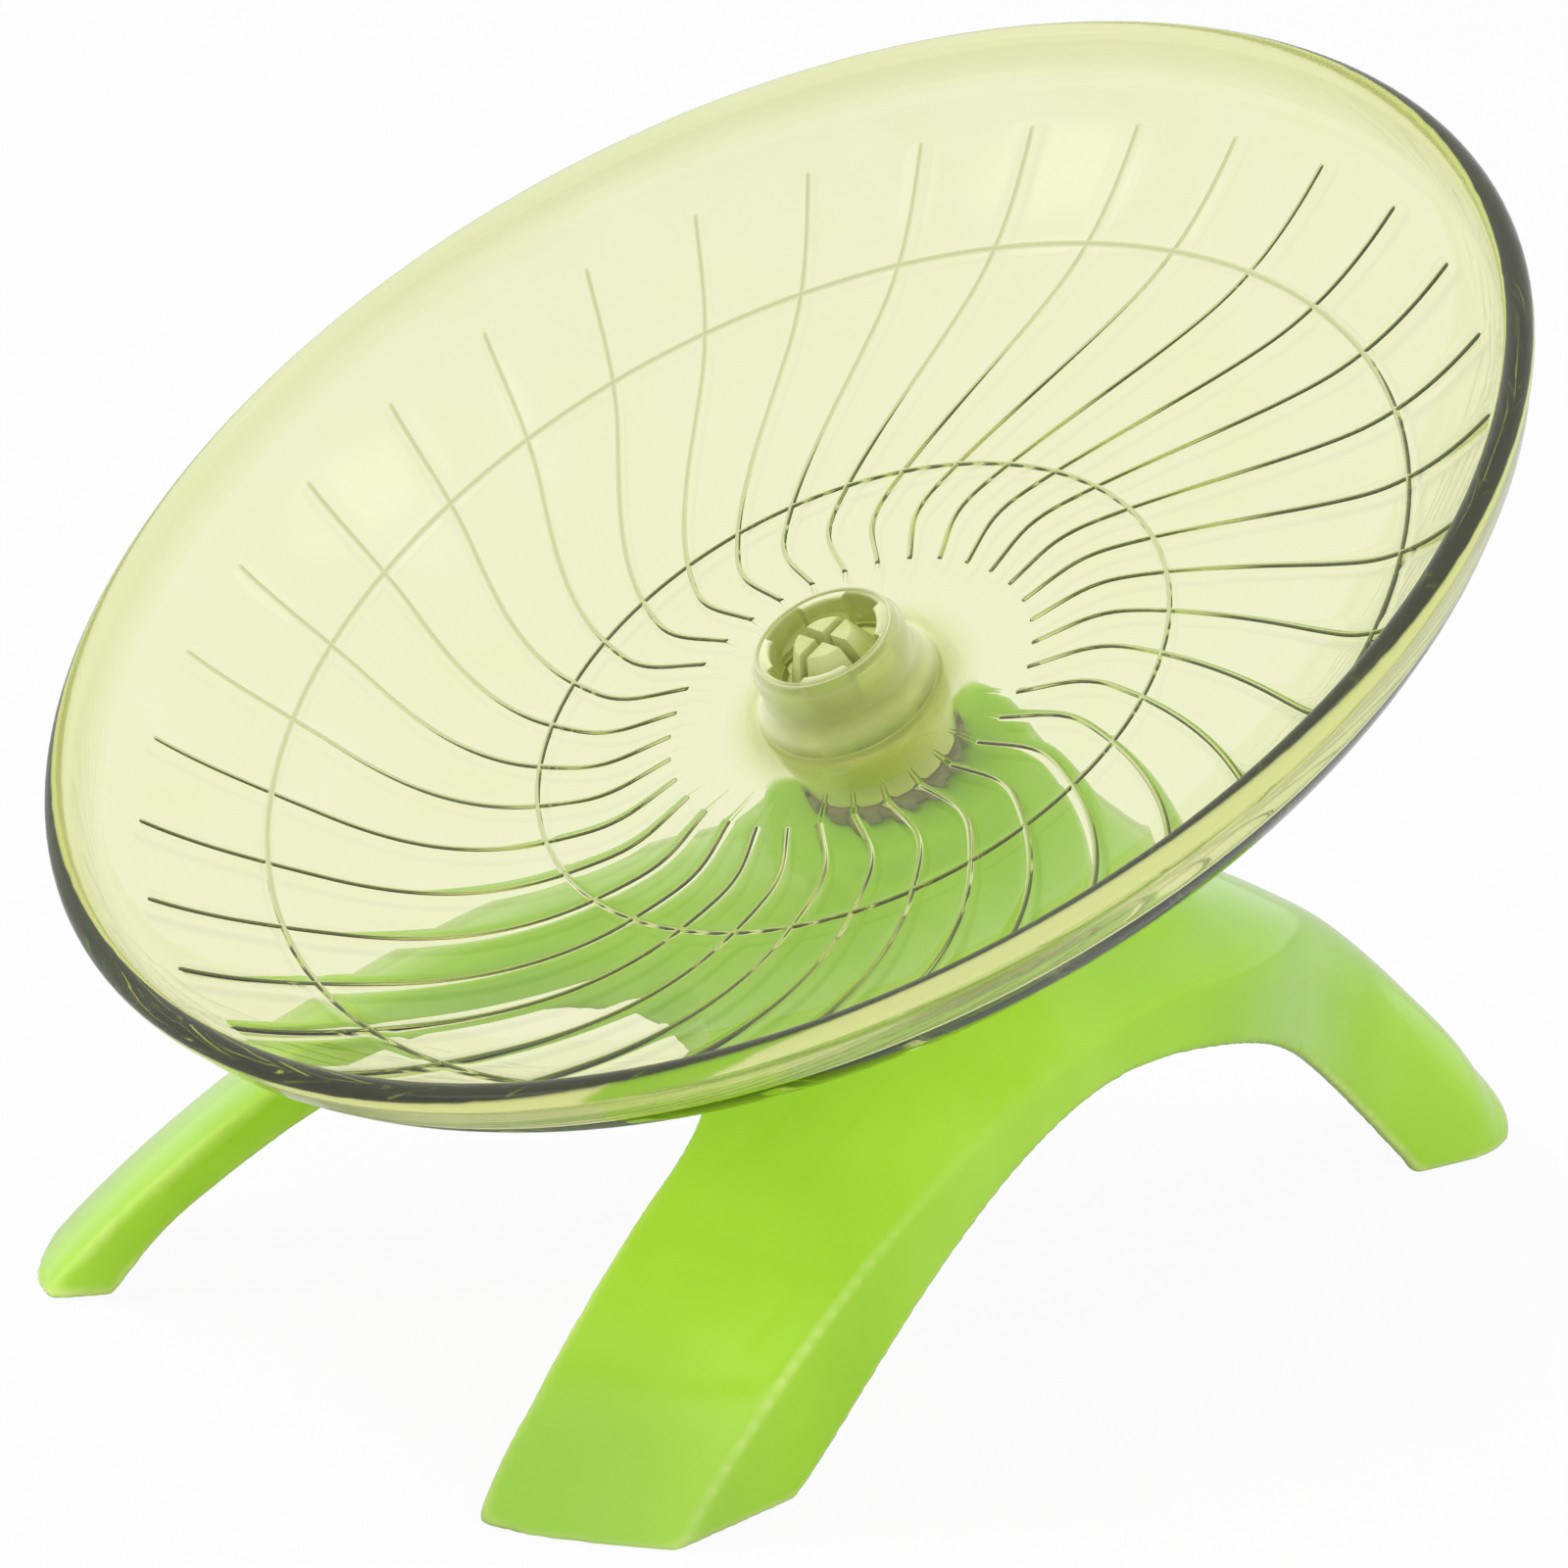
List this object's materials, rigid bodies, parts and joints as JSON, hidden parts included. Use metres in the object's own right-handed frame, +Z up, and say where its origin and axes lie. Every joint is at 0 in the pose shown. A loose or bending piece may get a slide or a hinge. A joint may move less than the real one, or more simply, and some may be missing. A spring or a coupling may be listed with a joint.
{
  "type": "hamster exercise wheel",
  "caption": "Tilted clear running dish for a hamster that spins freely on a slanted pin, on a glossy lime green domed stand with open arches between its legs.",
  "frame": {"origin": "on the ground, under the middle of the whole wheel's bounding box", "axes": "+Z up, +X towards the low side of the dish and the two front feet, +Y towards the left side"},
  "size_m": [0.2094, 0.1798, 0.1455],
  "materials": {
    "lime_plastic": "glossy",
    "clear_plastic": "clear, yellow-green tint",
    "pin_plastic": "translucent",
    "ring_plastic": "satin"
  },
  "bodies": {
    "stand": {"stand_shell": "lime_plastic", "axle_pin": "pin_plastic", "thrust_ring": "ring_plastic"},
    "dish": {"running_dish": "clear_plastic"}
  },
  "joints": [
    {"name": "dish_spin", "type": "hinge", "parent": "stand", "child": "dish", "pos_m": [0.00865, 0, 0.061], "axis": [0.5807, 0, 0.8141], "continuous": true}
  ]
}
